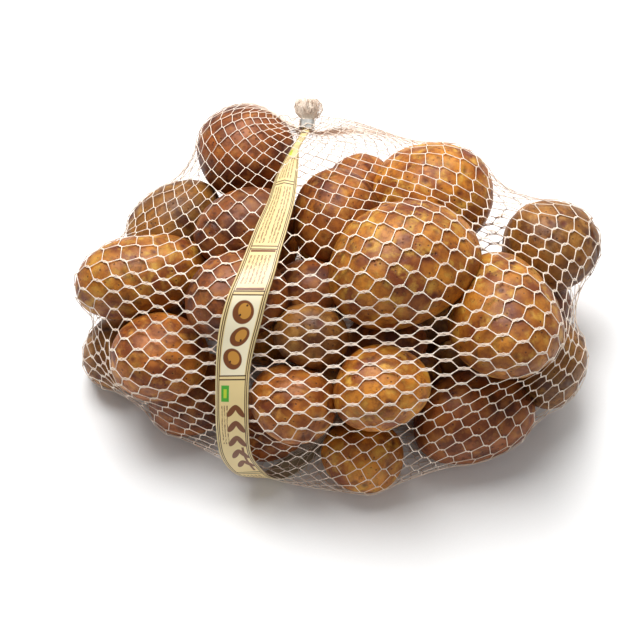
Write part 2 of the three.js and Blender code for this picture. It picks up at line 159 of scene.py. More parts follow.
CREASE_END = 0.32


# ---- Colours and nodes --------------------------------------------------------------------------


def linear(hex_colour):
    """sRGB hex to a linear colour with alpha 1."""
    srgb = [int(hex_colour[i : i + 2], 16) / 255 for i in (1, 3, 5)]
    return tuple(c / 12.92 if c <= 0.04045 else ((c + 0.055) / 1.055) ** 2.4 for c in srgb) + (1.0,)


def add(tree, kind, inputs=None, **settings):
    """Adds a node with its settings. Each input is linked to the node or socket given, or else set."""
    node = tree.nodes.new(kind)
    for name, value in settings.items():
        setattr(node, name, value)
    for name, value in (inputs or {}).items():
        if isinstance(value, bpy.types.Node):
            value = next(socket for socket in value.outputs if socket.enabled)
        if isinstance(value, bpy.types.NodeSocket):
            tree.links.new(value, node.inputs[name])
        else:
            node.inputs[name].default_value = value
    return node


# The sockets of a Mix node that are live when it mixes colours.
SHARE, UNDER, OVER = 0, 6, 7


def start_material(name):
    """A new material's empty tree, and the place of each point on its own object."""
    material = bpy.data.materials.new(name)
    material.use_nodes = True
    material.node_tree.nodes.clear()
    place = add(material.node_tree, "ShaderNodeTexCoord").outputs["Object"]
    return material, material.node_tree, place


def finish_material(tree, surface):
    """Adds the shader with its constants and patterns, and the output."""
    shader = add(tree, "ShaderNodeBsdfPrincipled", surface)
    add(tree, "ShaderNodeOutputMaterial", {"Surface": shader})


def every(spacing):
    """A texture's scale for a pattern that repeats every so many millimetres."""
    return 1 / (spacing * MM)


# ---- Materials ----------------------------------------------------------------------------------

# Brown skin, dark scurf, and the yellow of painted highlight spots. The main colour is a property.
SKIN_TONES = {
    "golden": ("#843E12", "#451A09", "#F4BC4C"),
    "ochre": ("#703210", "#3C1408", "#E09C40"),
    "olive": ("#5A3010", "#341A0C", "#C69046"),
    "russet": ("#5E2A0E", "#32120A", "#C88038"),
}
PIT_FLOOR = "#5E220C"
# The palest potato's brightness is the sum of the two, and the darkest one's a little over the first.
TONE_LEAST = 0.64
TONE_RANGE = 0.35


def potato_skin(kind, main):
    """Washed potato skin: waxy and blotched, with painted yellow highlight spots, scurf, pits, pores and
    dark eyes.
    """
    brown, dark, highlight_yellow = (linear(c) for c in SKIN_TONES[kind])
    material, tree, place = start_material(f"washed_skin_{kind}")
    tone = add(tree, "ShaderNodeAttribute", attribute_name="tone").outputs["Fac"]
    eye = add(tree, "ShaderNodeAttribute", attribute_name="eye").outputs["Fac"]
    # Blotches, spots of painted highlight, mottling, patches of scurf, and grain: the spacing in mm, detail
    # and roughness of each.
    blotch, highlight_noise, mottle, scurf, grain = (
        add(
            tree, "ShaderNodeTexNoise",
            {"Vector": place, "Scale": every(spacing), "Detail": detail, "Roughness": roughness},
        )
        for spacing, detail, roughness in (
            (14.7, 3.0, 0.5), (6.67, 4.0, 0.6), (3.33, 5.0, 0.62), (23.8, 6.0, 0.7), (0.91, 3.0, 0.5)
        )
    )
    # Pits are 2 to 3 mm wide and up to one in 8 mm. Pores are under 1 mm wide.
    pits = add(tree, "ShaderNodeTexVoronoi", {"Vector": place, "Scale": every(8.0)})
    pores = add(tree, "ShaderNodeTexVoronoi", {"Vector": place, "Scale": every(3.51)})
    chance = add(tree, "ShaderNodeSeparateColor", {0: pits.outputs["Color"]})
    # How far each covers: nothing at the first number, all at the second.
    blotched, mottled, painted_highlight, scurf_patch, scurf_edge, chosen, hollow, pore = (
        add(tree, "ShaderNodeMapRange", {"Value": source, "From Min": low, "From Max": high})
        for source, low, high in (
            (blotch, 0.35, 0.66), (mottle, 0.44, 0.66), (highlight_noise, 0.5, 0.68), (scurf, 0.54, 0.68),
            (mottle, 0.34, 0.6), (chance, 0.35, 0.6), (pits, 0.3, 0.08), (pores, 0.2, 0.08),
        )
    )
    scurfy, pit = (
        add(tree, "ShaderNodeMath", {0: first, 1: second}, operation="MULTIPLY")
        for first, second in ((scurf_patch, scurf_edge), (hollow, chosen))
    )
    # The layers of colour over the main one, from the lowest up, and how strong each is. The yellow layer
    # paints highlight spots.
    colour = main
    for cover, strength, over in (
        (blotched, 1.0, brown), (mottled, 0.85, brown), (painted_highlight, 0.7, highlight_yellow), (scurfy, 0.7, dark),
        (pit, 0.85, linear(PIT_FLOOR)), (pore, 0.75, dark), (eye, 0.85, dark),
    ):
        share = add(tree, "ShaderNodeMath", {0: cover, 1: strength}, operation="MULTIPLY")
        colour = add(tree, "ShaderNodeMix", {SHARE: share, UNDER: colour, OVER: over}, data_type="RGBA")
    shade = add(tree, "ShaderNodeMath", {0: tone, 1: TONE_RANGE, 2: TONE_LEAST}, operation="MULTIPLY_ADD")
    colour = add(
        tree, "ShaderNodeMix", {SHARE: 1.0, UNDER: colour, OVER: shade}, data_type="RGBA",
        blend_type="MULTIPLY",
    )
    rough = add(
        tree, "ShaderNodeMapRange",
        {"Value": mottle, "From Min": 0.3, "From Max": 0.7, "To Min": 0.4, "To Max": 0.62},
    )
    height = mottle
    for source, amount in ((grain, 0.4), (pore, -1.0), (pit, -1.6)):
        height = add(tree, "ShaderNodeMath", {0: source, 1: amount, 2: height}, operation="MULTIPLY_ADD")
    relief = add(tree, "ShaderNodeBump", {"Height": height, "Distance": 0.3 * MM, "Strength": 0.6})
    finish_material(tree, {"Base Color": colour, "Roughness": rough, "IOR": 1.42, "Normal": relief})
    return material


def net_thread(colour):
    """Knitted polyethylene thread, milky and slightly warm, with a waxy gloss."""
    material, tree, place = start_material("knitted_polyethylene")
    tint = add(tree, "ShaderNodeTexNoise", {"Vector": place, "Scale": every(8.33)})
    share = add(tree, "ShaderNodeMapRange", {"Value": tint, "From Min": 0.35, "From Max": 0.65})
    mixed = add(
        tree, "ShaderNodeMix", {SHARE: share, UNDER: colour, OVER: linear("#F2DCC8")}, data_type="RGBA"
    )
    # The twist of the filaments, drawn as fine noise.
    twist = add(tree, "ShaderNodeTexNoise", {"Vector": place, "Scale": every(0.77), "Detail": 1.0})
    relief = add(tree, "ShaderNodeBump", {"Height": twist, "Distance": 0.1 * MM, "Strength": 0.4})
    finish_material(tree, {"Base Color": mixed, "Roughness": 0.42, "IOR": 1.51, "Normal": relief})
    return material


# The band's artwork. Places along it are in mm from the top clip, and places across it are shares
# of its width.
PRINT_WIDTH = 19.0
SOFT_ALONG = 0.12
SOFT_ACROSS = 0.006
INKS = {
    "white": "#F4E9C8", "brown": "#7A4522", "dark": "#4A2814", "lime": "#BFD23C", "green": "#4FA83A",
    "ochre": "#C98F3E",
}
# Outlined fields: start and end.
FRAMES = [(8, 52), (54, 98), (100, 126), (128, 171), (173, 236), (238, 262), (264, 308), (310, 350)]
FRAME_LINE = 0.4
# The double line along each edge.
EDGE_LINES = (0.055, 0.105, 0.895, 0.945)
EDGE_LINE = 0.016
# Filled fields: ink, start, end, low and high edge.
FIELDS = [
    ("white", 128, 171, 0.14, 0.86), ("white", 264, 308, 0.14, 0.86), ("lime", 24, 30, 0.16, 0.42),
    ("green", 176, 185, 0.18, 0.42), ("lime", 178, 183, 0.25, 0.35), ("green", 313, 320, 0.18, 0.42),
    ("brown", 100.5, 102, 0.14, 0.86), ("brown", 124, 125.5, 0.14, 0.86), ("brown", 212, 234, 0.72, 0.8),
]
# Small print stands as broken lines: start and end of the block, low and high edge, lines in it.
PRINT_BLOCKS = [
    (32, 50, 0.2, 0.8, 5), (56, 96, 0.18, 0.48, 3), (56, 96, 0.54, 0.84, 3), (104, 122, 0.18, 0.82, 6),
    (187, 210, 0.18, 0.42, 3), (240, 260, 0.18, 0.82, 5), (322, 348, 0.18, 0.82, 5),
]
PRINT_STRENGTH = 0.85
# Potatoes, their bright sides and their eyes, then leaves: ink, middle along and across, half
# length and half width in mm, turn in degrees.
OVALS = [
    ("brown", 137, 0.5, 6.4, 4.9, 18), ("brown", 150, 0.55, 5.4, 4.4, -24),
    ("brown", 162, 0.46, 6.0, 4.7, 32), ("ochre", 136.4, 0.53, 4.3, 2.9, 18),
    ("ochre", 149.4, 0.58, 3.4, 2.5, -24), ("ochre", 161.4, 0.49, 3.9, 2.8, 32),
    ("brown", 272, 0.5, 5.6, 4.6, 10), ("brown", 284, 0.54, 5.8, 4.2, 28),
    ("brown", 297, 0.48, 6.2, 5.0, -16), ("ochre", 271.4, 0.53, 3.6, 2.7, 10),
    ("ochre", 283.4, 0.57, 3.7, 2.4, 28), ("ochre", 296.4, 0.51, 4.1, 3.0, -16),
    ("dark", 138.5, 0.44, 0.7, 0.5, 0), ("dark", 133.5, 0.56, 0.6, 0.5, 0),
    ("dark", 152, 0.6, 0.7, 0.5, 0), ("dark", 163.5, 0.4, 0.7, 0.5, 0),
    ("dark", 286, 0.5, 0.7, 0.5, 0), ("dark", 298.5, 0.42, 0.7, 0.5, 0),
]
for leaf in range(5):
    for side in (-1, 1):
        OVALS.append(("brown", 190 + 9 * leaf, 0.62 + side * 0.12, 4.2, 1.6, side * 38))


def printed_film(length, film):
    """Glossy polypropylene film printed in brown and green on cream, with simple shapes only."""
    material, tree, place = start_material("printed_polypropylene_film")
    uv = add(tree, "ShaderNodeSeparateXYZ", {0: add(tree, "ShaderNodeUVMap", uv_map="BandPrint")})
    along = add(tree, "ShaderNodeMath", {0: uv.outputs[0], 1: length}, operation="MULTIPLY")
    across = uv.outputs[1]
    height = add(tree, "ShaderNodeMath", {0: across, 1: PRINT_WIDTH}, operation="MULTIPLY")
    flat = add(tree, "ShaderNodeCombineXYZ", {0: along, 1: height})
    # The breaks in the small print are about 2 mm apart, on a plane stretched so that each line
    # breaks at its own places.
    stretched = add(tree, "ShaderNodeMath", {0: across, 1: 90.0}, operation="MULTIPLY")
    words = add(tree, "ShaderNodeCombineXYZ", {0: along, 1: stretched})
    breaks = add(tree, "ShaderNodeTexNoise", {"Vector": words, "Scale": 0.55, "Detail": 1.0})
    written = add(tree, "ShaderNodeMapRange", {"Value": breaks, "From Min": 0.42, "From Max": 0.5})

    def between(value, low, high, soft):
        """1 between low and high, with soft edges."""
        half = (high - low) / 2
        off = add(tree, "ShaderNodeMath", {0: value, 1: low + half}, operation="SUBTRACT")
        off = add(tree, "ShaderNodeMath", {0: off}, operation="ABSOLUTE")
        return add(tree, "ShaderNodeMapRange", {"Value": off, "From Min": half, "From Max": half - soft})

    def rectangle(x0, x1, y0, y1):
        sides = {0: between(along, x0, x1, SOFT_ALONG), 1: between(across, y0, y1, SOFT_ACROSS)}
        return add(tree, "ShaderNodeMath", sides, operation="MULTIPLY")

    def oval(x, y, half_length, half_width, turn):
        shape = {
            "Vector": flat, "Location": (x, y * PRINT_WIDTH, 0), "Rotation": (0, 0, math.radians(turn)),
            "Scale": (half_length, half_width, 1),
        }
        round_one = add(tree, "ShaderNodeMapping", shape, vector_type="TEXTURE")
        reach = add(tree, "ShaderNodeVectorMath", {0: round_one}, operation="LENGTH")
        return add(tree, "ShaderNodeMapRange", {"Value": reach, "From Min": 1.03, "From Max": 0.97})

    def print_block(x0, x1, y0, y1, lines):
        pitch = (y1 - y0) / lines
        row = add(tree, "ShaderNodeMath", {0: across, 1: y0}, operation="SUBTRACT")
        row = add(tree, "ShaderNodeMath", {0: row, 1: pitch}, operation="DIVIDE")
        row = add(tree, "ShaderNodeMath", {0: row}, operation="FRACT")
        ruled = add(tree, "ShaderNodeMath", {0: row, 1: 0.5}, operation="LESS_THAN")
        for other in (written, rectangle(x0, x1, y0, y1), PRINT_STRENGTH):
            ruled = add(tree, "ShaderNodeMath", {0: ruled, 1: other}, operation="MULTIPLY")
        return ruled

    layers = [(rectangle(*field), ink) for ink, *field in FIELDS]
    layers += [(print_block(*block), "brown") for block in PRINT_BLOCKS]
    layers += [(oval(*shape), ink) for ink, *shape in OVALS]
    layers += [(between(across, y - EDGE_LINE, y + EDGE_LINE, SOFT_ACROSS), "dark") for y in EDGE_LINES]
    layers += [
        (rectangle(x - FRAME_LINE, x + FRAME_LINE, 0.1, 0.9), "dark") for ends in FRAMES for x in ends
    ]
    colour = film
    for share, ink in layers:
        over = linear(INKS[ink])
        colour = add(tree, "ShaderNodeMix", {SHARE: share, UNDER: colour, OVER: over}, data_type="RGBA")
    ripple = add(tree, "ShaderNodeTexNoise", {"Vector": place, "Scale": every(11.1)})
    relief = add(tree, "ShaderNodeBump", {"Height": ripple, "Distance": 0.5 * MM, "Strength": 0.25})
    finish_material(tree, {"Base Color": colour, "Roughness": 0.28, "IOR": 1.49, "Normal": relief})
    return material


def film_back():
    """The band's unprinted inner face: plain film in a dull grey brown."""
    material, tree, place = start_material("polypropylene_film_inside")
    cloud = add(tree, "ShaderNodeTexNoise", {"Vector": place, "Scale": every(16.7), "Detail": 3.0})
    tints = {SHARE: cloud, UNDER: linear("#B3A284"), OVER: linear("#C9BC9E")}
    colour = add(tree, "ShaderNodeMix", tints, data_type="RGBA")
    relief = add(tree, "ShaderNodeBump", {"Height": cloud, "Distance": 0.4 * MM, "Strength": 0.2})
    finish_material(tree, {"Base Color": colour, "Roughness": 0.36, "IOR": 1.49, "Normal": relief})
    return material


def crimped_aluminium(colour):
    """Bare aluminium strip, drawn and crimped: satin, with fine draw lines and handling marks."""
    material, tree, place = start_material("crimped_aluminium")
    drawn = add(tree, "ShaderNodeMapping", {"Vector": place, "Scale": (1.0, 0.25, 0.25)})
    lines = add(tree, "ShaderNodeTexNoise", {"Vector": drawn, "Scale": every(0.385)})
    marks = add(tree, "ShaderNodeTexNoise", {"Vector": place, "Scale": every(2.0), "Detail": 4.0})
    share = add(tree, "ShaderNodeMapRange", {"Value": marks, "From Min": 0.4, "From Max": 0.65})
    mixed = add(
        tree, "ShaderNodeMix", {SHARE: share, UNDER: colour, OVER: linear("#C4C2BC")}, data_type="RGBA"
    )
    rough = add(tree, "ShaderNodeMapRange", {"Value": marks, "To Min": 0.3, "To Max": 0.55})
    relief = add(tree, "ShaderNodeBump", {"Height": lines, "Distance": 0.06 * MM, "Strength": 0.4})
    finish_material(tree, {"Base Color": mixed, "Metallic": 1.0, "Roughness": rough, "Normal": relief})
    return material


def paper_sweep():
    """Matt white paper, with a trace of its fibres."""
    material, tree, place = start_material("white_paper")
    fibre = add(tree, "ShaderNodeTexNoise", {"Vector": place, "Scale": every(1.11)})
    tints = {SHARE: fibre, UNDER: linear("#FFFFFF"), OVER: linear("#FBFBFA")}
    colour = add(tree, "ShaderNodeMix", tints, data_type="RGBA")
    finish_material(tree, {"Base Color": colour, "Roughness": 0.9})
    return material


# ---- Potatoes -----------------------------------------------------------------------------------


def mesh_object(name, points, faces, smooth=True):
    """A mesh in metres from points in millimetres."""
    mesh = bpy.data.meshes.new(name)
    mesh.from_pydata((np.asarray(points) * MM).tolist(), [], np.asarray(faces).tolist())
    mesh.update()
    if smooth:
        mesh.shade_smooth()
    thing = bpy.data.objects.new(name, mesh)
    bpy.context.scene.collection.objects.link(thing)
    return thing


def turn_matrix(turn, nose):
    """Columns are the potato's own axes."""
    yaw, pitch = math.radians(turn), math.radians(nose)
    c, s = math.cos(yaw), math.sin(yaw)
    d, t = math.cos(pitch), math.sin(pitch)
    return np.array([[c * d, -s, -c * t], [s * d, c, -s * t], [t, 0.0, d]])


CENTRES = np.array([p[1:4] for p in POTATOES], float)
HALVES = np.array([p[4:7] for p in POTATOES], float)
TURNS = np.array([turn_matrix(p[7], p[8]) for p in POTATOES])

BROAD_LUMP = 0.045
NARROW_LUMP = 0.030
LUMP_SINK = 0.01
POTATO_GAP = 0.15
EYES_PER_POTATO = 9
EYE_DEPTH = 1.1
EYE_LENGTH = 3.4
EYE_WIDTH = 1.7
EYE_STEEPNESS = 1.3
EYE_REACH = 6.0
SKIN_WAVES = 14
WAVE_RELIEF = 0.484
POTATO_SEED = 40


def lump(directions, index):
    """How far a potato bulges out of its ellipsoid, as a share, with each potato's number as phase."""
    x, y, z = directions[..., 0], directions[..., 1], directions[..., 2]
    broad = np.sin(2.3 * x + 1.7 * index) * np.cos(1.9 * y + 2.3 * index)
    narrow = np.sin(3.6 * z + 3.1 * index + 1.7 * x)
    return BROAD_LUMP * broad + NARROW_LUMP * narrow - LUMP_SINK


def clearance(points, index):
    """Distance of each point from a potato's skin, less than 0 inside, and the way out."""
    q = (points - CENTRES[index]) @ TURNS[index] / HALVES[index]
    radius = np.maximum(np.linalg.norm(q, axis=-1), 1e-6)
    scaled = radius / (1 + lump(q / radius[..., None], index))
    slope = (q / HALVES[index]) @ TURNS[index].T
    steepness = np.maximum(np.linalg.norm(slope, axis=-1), 1e-9)
    return scaled * (scaled - 1) / steepness, slope / steepness[..., None]


def push_out(points, standoff):
    """Moves points that are too near a potato out along its surface normal."""
    for index in range(len(POTATOES)):
        reach = HALVES[index].max() + standoff + 1
        offset = points - CENTRES[index]
        near = np.einsum("ij,ij->i", offset, offset) < reach * reach
        if near.any():
            distance, way_out = clearance(points[near], index)
            points[near] += way_out * np.maximum(standoff - distance, 0)[:, None]
    return points


def ball(subdivisions):
    """Directions and triangles of an evenly divided ball."""
    shape = bmesh.new()
    bmesh.ops.create_icosphere(shape, subdivisions=subdivisions, radius=1.0)
    shape.verts.ensure_lookup_table()
    directions = np.array([v.co[:] for v in shape.verts])
    triangles = np.array([[v.index for v in f.verts] for f in shape.faces])
    shape.free()
    return unit(directions), triangles


def potato_surface(index, directions):
    """Points of one potato's skin in millimetres, and how deep in an eye each one is."""
    dice = np.random.default_rng(POTATO_SEED + index)
    half = HALVES[index]
    local = directions * (1 + lump(directions, index))[:, None] * half
    normal = unit(directions / half)
    relief = np.zeros(len(directions))
    for _ in range(SKIN_WAVES):
        wave = unit(dice.normal(size=3)) * dice.uniform(0.25, 0.95)
        relief += np.sin(local @ wave + dice.uniform(0, 6.3)) / SKIN_WAVES
    eye = np.zeros(len(directions))
    for _ in range(EYES_PER_POTATO):
        # More of the eyes are at the potato's nose. Each has its brow across and its lid along.
        spot = unit(dice.normal(size=3) + np.array([0.7, 0, 0]))
        brow = unit(np.cross(spot, [1.0, 0, 0]))
        lid = np.cross(unit(spot / half), brow)
        gap = local - spot * (1 + lump(spot, index)) * half
        length, width = EYE_LENGTH * dice.uniform(0.7, 1.2), EYE_WIDTH * dice.uniform(0.8, 1.3)
        reach = (gap @ brow / length) ** 2 + (gap @ lid / width) ** 2 + (gap @ spot / EYE_REACH) ** 2
        eye = np.maximum(eye, np.exp(-EYE_STEEPNESS * reach) * dice.uniform(0.55, 1.0))
    local = local + normal * (WAVE_RELIEF * relief - EYE_DEPTH * eye)[:, None]
    return local @ TURNS[index].T + CENTRES[index], eye


def press_together(points, index):
    """Where two potatoes would pass through each other, each gives way by half."""
    for other in range(len(POTATOES)):
        apart = np.linalg.norm(CENTRES[other] - CENTRES[index])
        if other != index and apart <= HALVES[other].max() + HALVES[index].max():
            distance, way_out = clearance(points, other)
            points += way_out * (np.maximum(POTATO_GAP - distance, 0) * 0.5)[:, None]
    return points


def build_potatoes(kind, detail, floor):
    """All potatoes of one kind of skin as one mesh, none of them lower than the net's threads."""
    directions, triangles = ball(detail)
    indices = [index for index, row in enumerate(POTATOES) if row[0] == kind]
    points, eyes, tones = [], [], []
    for index in indices:
        surface, eye = potato_surface(index, directions)
        surface = press_together(surface, index)
        surface[:, 2] = np.maximum(surface[:, 2] - REST_HEIGHT, floor)
        points.append(surface)
        eyes.append(eye)
        tones.append(np.full(len(surface), np.random.default_rng(index).uniform(0.2, 1.0)))
    faces = [triangles + k * len(directions) for k in range(len(indices))]
    potatoes = mesh_object(f"potatoes_{kind}", np.concatenate(points), np.concatenate(faces))
    for name, values in (("eye", eyes), ("tone", tones)):
        layer = potatoes.data.attributes.new(name, "FLOAT", "POINT")
        layer.data.foreach_set("value", np.concatenate(values).astype(np.float32))
    return potatoes


# ---- The net settles over the potatoes ----------------------------------------------------------


def ring_angles(phase):
    return phase + 2 * math.pi * np.arange(NET_COLUMNS) / NET_COLUMNS


def ring(centre, axis, radius, phase, side):
    u = unit(side - axis * (side @ axis))
    v = np.cross(axis, u)
    angle = ring_angles(phase)
    return centre + radius * (np.cos(angle)[:, None] * u + np.sin(angle)[:, None] * v)


def floor_height(points):
    """The lowest that the net goes: on the floor, over the band's lane, and in a roof to the neck."""
    lane = LANE_END - LANE_START
    t = np.clip(((points[..., :2] - LANE_START) @ lane) / (lane @ lane), 0, 1)
    off = np.linalg.norm(points[..., :2] - LANE_START - t[..., None] * lane, axis=-1)
    share = np.clip((LANE_HALF_WIDTH + LANE_RAMP - off) / LANE_RAMP, 0, 1)
    from_clip = np.linalg.norm(points[..., :2] - NECK_BOTTOM[:2], axis=-1)
    roof = NECK_BOTTOM[2] - ROOF_SLOPE * (from_clip - NECK_RADIUS)
    wall = NECK_BOTTOM[2] - ROOF_SLOPE * (ROOF_REACH - NECK_RADIUS) - ROOF_SIDE * (from_clip - ROOF_REACH)
    return np.maximum(share * LANE_HEIGHT, np.minimum(roof, wall))


def open_net():
    """Rows of joints on the egg, each row turned by half a cell, and the side that column 0 faces."""
    top_pole = unit(NECK_TOP - EGG_CENTRE)
    middle, axis = (top_pole + BOTTOM_POLE) / 2, (top_pole - BOTTOM_POLE) / 2
    spread = np.linalg.norm(axis)
    axis = axis / spread
    side = unit(np.array([1.0, 0, 0]) - axis * axis[0])
    rows = np.zeros((NET_ROWS, NET_COLUMNS, 3))
    for i in range(NET_ROWS):
        latitude = math.pi * (i + 0.5) / NET_ROWS
        phase = math.pi / NET_COLUMNS * (i % 2)
        directions = ring(axis * math.cos(latitude), axis, math.sin(latitude), phase, side)
        rows[i] = unit(directions * spread + middle) * EGG_HALF + EGG_CENTRE
    rows[..., 2] = np.maximum(rows[..., 2], 0)
    return rows, side


# The four families of strands: first row, and how far the lower row is rolled to meet the upper.
FAMILIES = [(0, 0), (0, 1), (1, 0), (1, -1)]


def strand_ends(rows, first, roll):
    """The upper rows of a family as a slice, and the lower rows rolled to lie beside them."""
    lower = np.roll(rows[first + 1 :: 2], roll, axis=1)
    return slice(first, first + 2 * len(lower), 2), lower


def draw_in(rows):
    """Pulls each joint towards the middle of its neighbours, and down a little."""
    total, count = np.zeros_like(rows), np.zeros((NET_ROWS, 1, 1))
    for first, roll in FAMILIES:
        upper, lower = strand_ends(rows, first, roll)
        total[upper] += lower
        count[upper] += 1
        total[first + 1 :: 2] += np.roll(rows[upper], -roll, axis=1)
        count[first + 1 :: 2] += 1
    rows[1:-1] += DRAW_IN * (total[1:-1] / count[1:-1] - rows[1:-1])
    rows[1:-1, :, 2] -= SAG


def hold_strands(rows, longest):
    """Shortens strands that are too long, and eases those that are too short by half."""
    for first, roll in FAMILIES:
        upper, lower = strand_ends(rows, first, roll)
        along = lower - rows[upper]
        length = np.linalg.norm(along, axis=-1, keepdims=True)
        excess = np.where(length > longest, length - longest, 0.5 * np.minimum(length - SLACK_STRAND, 0))
        move = along * (0.5 * excess / np.maximum(length, 1e-6))
        rows[upper] += move
        rows[first + 1 :: 2] -= np.roll(move, -roll, axis=1)


def settle_net():
    """Draws the open net shut over the potatoes, as in the frame's own net."""
    rows, side = open_net()
    last_phase = math.pi / NET_COLUMNS * ((NET_ROWS - 1) % 2)
    starts = rows[0].copy(), rows[-1].copy()
    ends = (
        ring(NECK_TOP, NECK_TOP_AXIS, NECK_RADIUS, 0, side),
        ring(NECK_BOTTOM, -NECK_BOTTOM_AXIS, NECK_RADIUS, last_phase, side),
    )

    def pin(share):
        rows[0] = starts[0] + (ends[0] - starts[0]) * share
        rows[-1] = starts[1] + (ends[1] - starts[1]) * share

    for step in range(SETTLE_STEPS):
        share = min(1.0, step / DRAW_STEPS)
        pin(share)
        draw_in(rows)
        for _ in range(3):
            hold_strands(rows, STRAND + (OPEN_STRAND - STRAND) * (1 - share) ** 1.5)
            pin(share)
        inner = push_out(rows[1:-1].reshape(-1, 3), NET_STANDOFF).reshape(NET_ROWS - 2, NET_COLUMNS, 3)
        inner[..., 2] = np.maximum(inner[..., 2], floor_height(inner))
        rows[1:-1] = inner
    return rows, side


# Rows past a neck: distance along its axis, radius, share of the frill.
TOP_TAIL_ROWS = [
    (3.6, 2.25, 0.0), (7.0, 3.3, 0.4), (9.6, 5.8, 1.0), (12.4, 6.9, 1.3), (15.2, 6.4, 1.6), (17.2, 4.4, 1.4)
]
BOTTOM_TAIL_ROWS = [(3.6, 2.25, 0.0), (6.6, 2.9, 0.3), (7.8, 4.6, 0.8), (8.7, 5.8, 1.0)]
FRILL = 0.13
FRILL_FOLDS = 7
FRILL_TWIST = 0.4
FRILL_MESS = 0.22
LEAN_GAP = 0.45


def tail(centre, axis, out, profile, side, first_parity, lean, seed):
    """Rows of joints of a bunched tail. axis sets the way round, out the way along."""
    dice = np.random.default_rng(seed)
    rows = []
    for k, (distance, radius, frill) in enumerate(profile):
        phase = math.pi / NET_COLUMNS * ((first_parity + k) % 2)
        shift = radius * (1 + FRILL * frill) - CRIMP_RADIUS + LEAN_GAP
        middle = centre + out * distance + lean * shift
        swell = 1 + FRILL * frill * np.sin(FRILL_FOLDS * ring_angles(phase) + FRILL_TWIST * k)
        points = middle + (ring(middle, axis, radius, phase, side) - middle) * swell[:, None]
        points += dice.normal(scale=FRILL_MESS, size=points.shape) * frill
        rows.append(points)
    return rows


def whole_net():
    """All rows of joints, from the end of the top tail to the end of the bottom tail."""
    rows, side = settle_net()
    no_lean = np.zeros(3)
    top = tail(NECK_TOP, NECK_TOP_AXIS, NECK_TOP_AXIS, TOP_TAIL_ROWS, side, 1, no_lean, 5)
    bottom = tail(
        NECK_BOTTOM, -NECK_BOTTOM_AXIS, NECK_BOTTOM_AXIS, BOTTOM_TAIL_ROWS, side, NET_ROWS % 2,
        BAND_APPROACH, 6,
    )
    return np.array(top[::-1] + list(rows) + bottom)


# ---- Threads ------------------------------------------------------------------------------------

# A joint is a bare crossing where its neighbours are close, and a long twist where the net is drawn
# open round the bag.
JOINT_HALF_LENGTH = 2.9
JOINT_HALF_WIDTH = 0.72
JOINT_SHORTEST = 0.6
JOINT_SHARE = 0.3
CLOSED_GAP = 9.0
# In a joint, how far the straight threads dip and lift, and how the turning threads hook round
# them, as shares of the joint's half width and half length.
STRAIGHT_DIP = 0.3
STRAIGHT_LIFT = 0.25
HOOK_REACH = 0.96
HOOK_FOOT = 0.8
HOOK_TOP = 1.05
THREAD_GAP = 0.08


def joint_frames(rows):
    """For each joint: along the ring, down the net, outwards, and half its length."""
    around = unit(np.roll(rows, -1, axis=1) - np.roll(rows, 1, axis=1))
    parity = np.arange(len(rows)) % 2
    # The middle of the two joints below or above a joint is its own column in an evenly turned row.
    shifted = np.array([
        (row + np.roll(row, -1 if odd else 1, axis=0)) / 2 for row, odd in zip(rows, 1 - parity)
    ])
    down = np.zeros_like(rows)
    down[1:-1] = shifted[2:] - shifted[:-2]
    down[0] = shifted[1] - rows[0]
    down[-1] = rows[-1] - shifted[-2]
    outward = unit(np.cross(down, around))
    down = np.cross(around, outward)
    gap = np.linalg.norm(np.roll(rows, -1, axis=1) - rows, axis=-1)
    gap = (gap + np.roll(gap, 1, axis=1)) / 2
    shortest = np.minimum(JOINT_SHORTEST, 0.2 * gap)
    return around, down, outward, np.clip(JOINT_SHARE * (gap - CLOSED_GAP), shortest, JOINT_HALF_LENGTH)


def smooth_path(points, steps, closed):
    """Rounds a path through its points. steps says how many pieces each span is cut into, in turn."""
    if closed:
        before, start, end, after = (np.roll(points, k, axis=0) for k in (1, 0, -1, -2))
    else:
        padded = np.concatenate([points[:1], points, points[-1:]])
        before, start, end, after = padded[:-3], padded[1:-2], padded[2:-1], padded[3:]
    path = []
    for span, (a, b, c, d) in enumerate(zip(before, start, end, after)):
        pieces = steps[span % len(steps)]
        for k in range(pieces):
            t = k / pieces
            bend = (c - a) * t + (2 * a - 5 * b + 4 * c - d) * t**2 + (3 * b - a - 3 * c + d) * t**3
            path.append(b + 0.5 * bend)
    if not closed:
        path.append(points[-1])
    return np.array(path)


def straight_threads(rows, way):
    """Threads that run down the net and lean one way round it, through one joint of each row."""
    around, down, outward, half = joint_frames(rows)
    width = JOINT_HALF_WIDTH * half / JOINT_HALF_LENGTH
    columns = np.arange(NET_COLUMNS)
    points = []
    for i in range(len(rows)):
        j = (columns + (i // 2 if way == 1 else -((i + 1) // 2))) % NET_COLUMNS
        centre, t, s, n = rows[i, j], around[i, j], down[i, j], outward[i, j]
        h, w = half[i, j][:, None], width[i, j][:, None]
        points.append(centre - way * h * t - STRAIGHT_DIP * w * s)
        points.append(centre + way * STRAIGHT_LIFT * w * n)
        points.append(centre + way * h * t + STRAIGHT_DIP * w * s)
    return smooth_path(np.array(points), (1, 1, 2), False)


def turning_threads(rows):
    """Threads that run round the net between two rows, and hook round the joints of both."""
    around, down, _, half = joint_frames(rows)
    width = JOINT_HALF_WIDTH * half / JOINT_HALF_LENGTH
    turns = []
    for i in range(len(rows) - 1):
        points = []
        for j in range(NET_COLUMNS):
            k = j if i % 2 == 0 else (j + 1) % NET_COLUMNS
            for row, column, way in ((i, j, 1), (i + 1, k, -1)):
                centre, t, s = rows[row, column], around[row, column], down[row, column]
                h, w = half[row, column], width[row, column]
                points.append(centre - HOOK_REACH * h * t + way * HOOK_FOOT * w * s)
                points.append(centre + way * HOOK_TOP * w * s)
                points.append(centre + HOOK_REACH * h * t + way * HOOK_FOOT * w * s)
        turns.append(smooth_path(np.array(points), (2, 2, 2), True))
    return np.stack(turns, axis=1)


